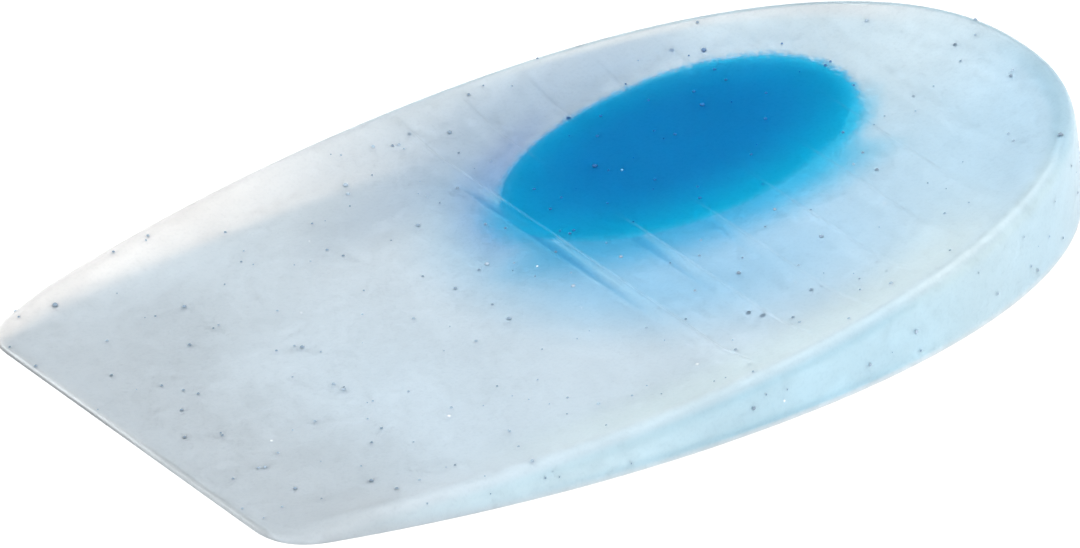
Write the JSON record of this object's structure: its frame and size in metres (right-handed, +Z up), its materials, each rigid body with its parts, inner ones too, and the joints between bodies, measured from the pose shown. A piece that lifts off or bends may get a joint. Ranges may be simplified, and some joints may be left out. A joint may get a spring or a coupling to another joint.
{
  "type": "heel cushion",
  "caption": "Wedge-shaped clear silicone heel cushion with a cupped, ribbed top and a softer blue oval let in to one side under the heel.",
  "frame": {"origin": "middle of the underside, which is flat", "axes": "+X from the thin front edge to the heel, +Y to the side that the soft spot lies nearer, +Z up"},
  "size_m": [0.105, 0.065, 0.0105],
  "materials": {
    "clear_silicone": "milky translucent silicone, satin",
    "blue_silicone": "translucent blue soft silicone"
  },
  "bodies": {
    "root": {"cushion_body": "clear_silicone", "soft_spot": "blue_silicone"}
  },
  "joints": []
}
